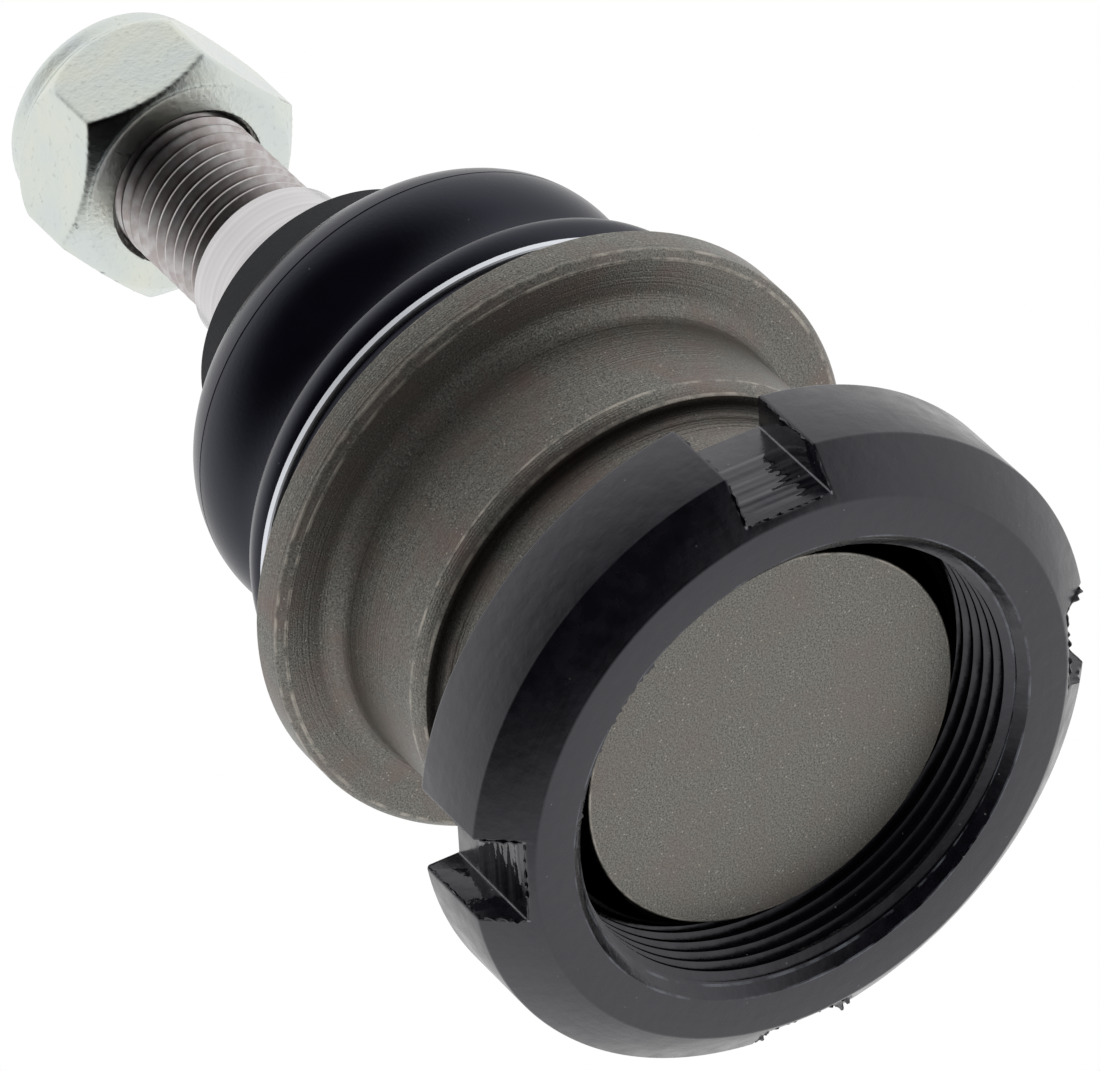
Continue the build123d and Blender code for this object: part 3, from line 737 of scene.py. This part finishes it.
def make_boot():
    """Foot and bead in one piece, the bulge in a second and the matte lip in a third.

    The first two meet at the bottom of the groove.
    """
    groove_z = BEAD_Z + BEAD_ROUND + GROOVE_ROUND
    bead = (BEAD_R - BEAD_ROUND, BEAD_Z)
    gap = 0.05                      # round the band
    flare_z = 49.0                  # inside, the wall opens from here down to the collar
    bead_low = degrees(asin((BAND_TOP_Z + gap - BEAD_Z) / BEAD_ROUND))
    outline = [(BOOT_BORE_R, BOOT_LOW_Z), (BOOT_RIM_R, BOOT_LOW_Z), (BOOT_RIM_R, BAND_LOW_Z - gap)]
    outline += [(BAND_BORE_R - gap, BAND_LOW_Z - gap), (BAND_BORE_R - gap, BAND_TOP_Z + gap)]
    outline += arc(bead, BEAD_ROUND, bead_low, BEAD_PARTING - 6, 10)
    outline += parting_line(bead, BEAD_ROUND, BEAD_PARTING)
    outline += arc(bead, BEAD_ROUND, BEAD_PARTING + 6, 90, 8)
    outline += arc((GROOVE_R + GROOVE_ROUND, groove_z), GROOVE_ROUND, -90, -180, 8)
    outline += [(GROOVE_R - BOOT_WALL, groove_z), (GROOVE_R - BOOT_WALL, flare_z)]
    outline += [(BOOT_BORE_R, COLLAR_TOP_Z), (BOOT_BORE_R, BOOT_LOW_Z)]
    lower = turned("boot_lower", outline)
    lean(lower)
    finish_piece(lower, RUBBER, None, None)
    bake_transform(lower)

    step_r = (BULGE_R - GROOVE_R) / 2
    step_z = (BULGE_Z - groove_z) / 2
    flank = (step_r**2 + step_z**2) / (2 * step_r)
    bend = degrees(asin(step_z / flank))
    core = (BULGE_R - BULGE_ROUND, BULGE_Z)
    crown_z = BULGE_Z + BULGE_ROUND
    outline = arc((GROOVE_R + flank, groove_z), flank, 180, 180 - bend, 8)[:-1]
    outline += arc((BULGE_R - flank, BULGE_Z), flank, -bend, 0, 8)[:-1]
    outline += arc(core, BULGE_ROUND, 0, BULGE_PARTING - 3, 2)
    outline += parting_line(core, BULGE_ROUND, BULGE_PARTING)
    outline += arc(core, BULGE_ROUND, BULGE_PARTING + 3, 90, 18)
    outline += [(LIP_BASE_R, crown_z), (LIP_BASE_R, crown_z - BOOT_WALL)]
    outline += arc(core, BULGE_ROUND - BOOT_WALL, 90, 0, 12)
    outline += arc((BULGE_R - flank - BOOT_WALL, BULGE_Z), flank, 0, -bend, 8)[1:]
    outline += arc((GROOVE_R + flank - BOOT_WALL, groove_z), flank, 180 - bend, 180, 8)[1:]
    outline += outline[:1]
    upper = turned("boot_upper", outline)
    lean(upper)
    finish_piece(upper, RUBBER, None, "boot")
    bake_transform(upper)

    low = crown_z - BOOT_WALL
    edge = 0.1
    outline = [(LIP_LOW_R, low), (LIP_R, low), (LIP_R, BOOT_TOP_Z - edge), (LIP_R - edge, BOOT_TOP_Z)]
    outline += [(LIP_TOP_R, BOOT_TOP_Z), (LIP_LOW_R, low)]
    lip = turned("boot_lip", outline)
    finish_piece(lip, MATTE_RUBBER, "stud_swing", None)


# ---- ball stud -----------------------------------------------------------------------------------
STUD_TOP_Z = top("ball_stud")
BALL_R = 14.0
BALL_Z = 29.5
BALL_FLAT_Z = 15.9
BALL_FLAT_R = 3.3
NECK = [(7.0, 42.4), (7.0, 50.0), (7.3, 54.5), (8.0, 59.6)]     # flares from the ball to the taper
TAPER_LOW_R = 8.76
TAPER_LOW_Z = 64.0
TAPER_TOP_R = 7.75
TAPER_TOP_Z = 84.2
STUD_THREAD_Z = 84.9
SHOULDER_R = 7.2                # at the thread's lower end
RUNOUT_R = 6.3                  # top of the cone on which the thread runs out
RUNOUT = 0.6                    # and its height
STUD_POINT_R = 5.9
POINT_SLOPE = 1.1               # growth of the point's radius for each unit of height below the end


def point_end(rod, end, end_radius):
    """Draws the upper end of a threaded rod in to a chamfer, so that the thread runs out on it."""
    for vertex in rod.data.vertices:
        limit = (end_radius + (end - vertex.co.z / MM) * POINT_SLOPE) * MM
        radius = hypot(vertex.co.x, vertex.co.y)
        if radius > limit:
            vertex.co.x *= limit / radius
            vertex.co.y *= limit / radius


def make_stud():
    """Ball, neck and taper, with the threaded shank."""
    outline = [(0, BALL_FLAT_Z), (BALL_FLAT_R, BALL_FLAT_Z)]
    outline += arc((0, BALL_Z), BALL_R, -76, 60, 40)
    outline += NECK + [(TAPER_LOW_R, TAPER_LOW_Z), (TAPER_TOP_R, TAPER_TOP_Z)]
    outline += [(TAPER_TOP_R - 0.1, TAPER_TOP_Z + 0.25), (SHOULDER_R, STUD_THREAD_Z)]
    outline += [(RUNOUT_R, STUD_THREAD_Z + RUNOUT), (0, STUD_THREAD_Z + RUNOUT)]
    piece = turned("ball_stud_body", outline, 160)
    shank = thread_rod("shank", STUD_THREAD_Z, STUD_TOP_Z, STUD_THREAD_R, 128)
    point_end(shank, STUD_TOP_Z, STUD_POINT_R)
    join(piece, shank)
    finish_piece(piece, BRIGHT, "ball_stud", "ball_stud", 26)


# ---- stud nut ------------------------------------------------------------------------------------
NUT_LOW_Z = bottom("stud_nut")
NUT_TOP_Z = top("stud_nut")
NUT_COLLAR_HEIGHT = 2.7
NUT_HEX_TOP_Z = NUT_TOP_Z - NUT_COLLAR_HEIGHT
NUT_ACROSS_FLATS = 21.0
NUT_CORNER_R = NUT_ACROSS_FLATS / sqrt(3)
NUT_WASHER_R = 10.05
NUT_COLLAR_R = 10.15
NUT_COLLAR_ROUND = 1.2
NUT_ANGLE = 17.2
NUT_MOUTH_R = 7.5
NUT_MOUTH_DEPTH = 0.52
NUT_BORE_R = 6.98
NYLON_Z = bottom("nut_insert")
NYLON_POCKET_R = 8.9
COVER_BORE_R = 7.73             # opening over the nylon ring
COVER_WALL = 0.9


def nut_envelope():
    """Chamfer under the hexagon, and the round shoulder that runs up to the collar."""
    drop = 1.93
    rise = NUT_CORNER_R - NUT_COLLAR_R
    shoulder = 4.55
    bend = (rise**2 + shoulder**2) / (2 * rise)
    sweep = degrees(asin(shoulder / bend))
    start = NUT_HEX_TOP_Z - shoulder
    outline = [(0, NUT_LOW_Z), (NUT_WASHER_R, NUT_LOW_Z), (NUT_CORNER_R, NUT_LOW_Z + drop)]
    outline += arc((NUT_CORNER_R - bend, start), bend, 0, sweep, 10)
    outline += [(0, NUT_HEX_TOP_Z)]
    return turned("envelope", outline, 160)


def make_nut():
    """Hexagon with soft edges and a round collar that is turned in over the nylon ring."""
    bpy.ops.object.select_all(action="DESELECT")
    height = NUT_HEX_TOP_Z - NUT_LOW_Z
    bpy.ops.mesh.primitive_cylinder_add(
        vertices=6, radius=NUT_CORNER_R * MM, depth=height * MM,
        location=(0, 0, (NUT_LOW_Z + height / 2) * MM),
        rotation=(0, 0, radians(NUT_ANGLE - 90)),
    )
    piece = bpy.context.object
    piece.name = piece.data.name = "stud_nut_body"
    bpy.ops.object.transform_apply(location=True, rotation=True, scale=True)
    cut_away(piece, nut_envelope(), "INTERSECT")
    collar = [(0, NUT_HEX_TOP_Z - 1), (NUT_COLLAR_R, NUT_HEX_TOP_Z - 1)]
    middle = (NUT_COLLAR_R - NUT_COLLAR_ROUND, NUT_TOP_Z - NUT_COLLAR_ROUND)
    collar += arc(middle, NUT_COLLAR_ROUND, 0, 90, 6) + [(0, NUT_TOP_Z)]
    cut_away(piece, turned("collar", collar, 128), "UNION")
    apply_modifier(piece, "REMESH", mode="VOXEL", voxel_size=0.22 * MM)
    apply_modifier(piece, "SMOOTH", factor=0.5, iterations=2)
    pocket_z = NYLON_Z - 0.05       # a little under the nylon ring
    bore = [(0, NUT_LOW_Z - 1), (NUT_MOUTH_R + 1, NUT_LOW_Z - 1), (NUT_MOUTH_R, NUT_LOW_Z)]
    bore += [(NUT_BORE_R, NUT_LOW_Z + NUT_MOUTH_DEPTH), (NUT_BORE_R, pocket_z)]
    bore += [(NYLON_POCKET_R, pocket_z), (NYLON_POCKET_R, NUT_TOP_Z - COVER_WALL)]
    bore += [(COVER_BORE_R, NUT_TOP_Z - COVER_WALL), (COVER_BORE_R, NUT_TOP_Z + 1), (0, NUT_TOP_Z + 1)]
    cut_away(piece, turned("bore", bore, 128))
    finish_piece(piece, ZINC, "stud_nut", "stud_nut", 40)


# ---- stage ---------------------------------------------------------------------------------------
VIEW_AIM = Vector((-0.21, -0.32, 38.54)) * MM
VIEW_DISTANCE = 932.56 * MM
VIEW_AZIMUTH = 57.03
VIEW_ELEVATION = -43.77
VIEW_ROLL = -46.54
LENS = 369.04
OPENING_EDGE = 33               # degrees from the middle of the tent's dark opening to where it lightens
TENT_EDGE = 93                  # and to where it is white
TENT_OPENING = (-0.28, 0.2, 1.0)    # right, up and towards the viewer in the picture
TENT_LIGHT = 0.6                # of the tent on dull surfaces, as a share of its gloss
FLOOR_R = 1.2                   # metres
LAMP_DISTANCE = 1.5             # metres


def away(azimuth, elevation):
    """Direction from the object towards a viewer at an azimuth and an elevation, in degrees."""
    a, e = radians(azimuth), radians(elevation)
    return Vector((sin(a) * cos(e), -cos(a) * cos(e), sin(e)))


def make_camera():
    """A camera far away with a long lens, so that the view is nearly parallel."""
    back = away(VIEW_AZIMUTH, VIEW_ELEVATION)
    turn = back.to_track_quat("Z", "Y") @ Euler((0, 0, radians(VIEW_ROLL))).to_quaternion()
    bpy.ops.object.camera_add(location=VIEW_AIM + back * VIEW_DISTANCE, rotation=turn.to_euler())
    camera = bpy.context.object
    camera.data.lens = LENS
    camera.data.clip_end = 20
    bpy.context.scene.camera = camera
    bpy.context.view_layer.update()
    return camera


def in_picture(camera, direction):
    """A direction given as right, up and towards the viewer, as a unit vector of the scene."""
    return (camera.matrix_world.to_3x3() @ Vector(direction)).normalized()


def make_floor():
    """Pale floor just under the joint, seen from above only."""
    bpy.ops.object.select_all(action="DESELECT")
    place = (0, 0, -0.05 * MM)
    bpy.ops.mesh.primitive_circle_add(vertices=96, radius=FLOOR_R, fill_type="NGON", location=place)
    floor = bpy.context.object
    floor.name = "floor"
    material, tree, shader = new_material("floor")
    feed(tree, shader, {"Base Color": linear("#ecebe8"), "Roughness": 0.9})
    below = add_node(tree, "NewGeometry", {}, "Backfacing")
    camera_ray = add_node(tree, "LightPath", {}, "Is Camera Ray")
    above = add_node(tree, "Math", {0: 1.0, 1: below}, operation="SUBTRACT")
    shown = add_node(tree, "Math", {0: above, 1: camera_ray}, operation="MULTIPLY")
    clear = add_node(tree, "BsdfTransparent", {})
    mixed = add_node(tree, "MixShader", {0: shown, 1: clear, 2: shader.outputs[0]})
    feed(tree, tree.nodes["Material Output"], {"Surface": mixed})
    floor.data.materials.append(material)


def make_world(camera):
    """A white light tent: white to look at and in the gloss, with a dark opening towards the viewer."""
    world = bpy.data.worlds.new("light_tent")
    bpy.context.scene.world = world
    world.use_nodes = True
    tree = world.node_tree
    tree.nodes.clear()
    direction = add_node(tree, "TexCoord", {}, "Generated")
    opening = in_picture(camera, TENT_OPENING)
    facing = add_node(tree, "VectorMath", {0: direction, 1: opening}, "Value", operation="DOT_PRODUCT")
    white, dark = cos(radians(TENT_EDGE)), cos(radians(OPENING_EDGE))
    tent = add_node(
        tree, "MapRange",
        {"Value": facing, "From Min": white, "From Max": dark, "To Min": 1.0, "To Max": 0.0},
        interpolation_type="SMOOTHSTEP",
    )
    glossy_ray = add_node(tree, "LightPath", {}, "Is Glossy Ray")
    level = add_node(tree, "MapRange", {"Value": glossy_ray, "To Min": TENT_LIGHT, "To Max": 1.0})
    dimmed = add_node(tree, "Math", {0: tent, 1: level}, operation="MULTIPLY")
    camera_ray = add_node(tree, "LightPath", {}, "Is Camera Ray")
    through = add_node(tree, "LightPath", {}, "Is Transmission Ray")
    seen = add_node(tree, "Math", {0: camera_ray, 1: through}, operation="MAXIMUM")
    strength = add_node(tree, "Mix", {0: seen, 2: dimmed, 3: 1.0}, 0, data_type="FLOAT")
    background = add_node(tree, "Background", {"Color": linear("#ffffff"), "Strength": strength})
    feed(tree, tree.nodes.new("ShaderNodeOutputWorld"), {"Surface": background})


def softbox(camera, name, direction, size, power):
    """A square lamp that lights dull surfaces only, so that it leaves no spot in the gloss.

    The direction is right, up and towards the viewer in the picture. The size is in metres and the
    power in watts.
    """
    towards = in_picture(camera, direction)
    turn = towards.to_track_quat("Z", "Y")
    place = VIEW_AIM + towards * LAMP_DISTANCE
    bpy.ops.object.light_add(type="AREA", location=place, rotation=turn.to_euler())
    lamp = bpy.context.object
    lamp.name = lamp.data.name = name
    lamp.data.size = size
    lamp.data.energy = power
    lamp.visible_camera = False
    lamp.visible_glossy = False


STEEL_COAT = phosphated_steel()
BLACK = black_paint()
BRIGHT = bright_steel()
ZINC = zinc_plate()
BAND = spring_steel()
RUBBER = gloss_rubber()
MATTE_RUBBER = matte_rubber()
ACETAL = natural_plastic("natural_acetal", "#c9c4b4", "#e2dcc8")
NYLON = natural_plastic("natural_nylon", "#cfccc0", "#e6e4da")

make_housing()
make_ring_nut()
make_band()
make_boot()
make_stud()
make_nut()
kept_nodes = {"ball_seat": ACETAL, "closing_ring": STEEL_COAT, "lip_ring": BAND, "nut_insert": NYLON}
for node, material in kept_nodes.items():
    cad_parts[node].data.materials.clear()
    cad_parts[node].data.materials.append(material)

view_camera = make_camera()
make_floor()
make_world(view_camera)
softbox(view_camera, "front_lamp", (-0.1, 0.1, 1.0), 1.6, 17)
softbox(view_camera, "upper_left_lamp", (-0.65, 0.75, 0.3), 1.3, 9)
softbox(view_camera, "lower_right_lamp", (0.7, -0.7, 0.1), 1.3, 3)

view_settings = bpy.context.scene.view_settings
view_settings.view_transform = "Standard"
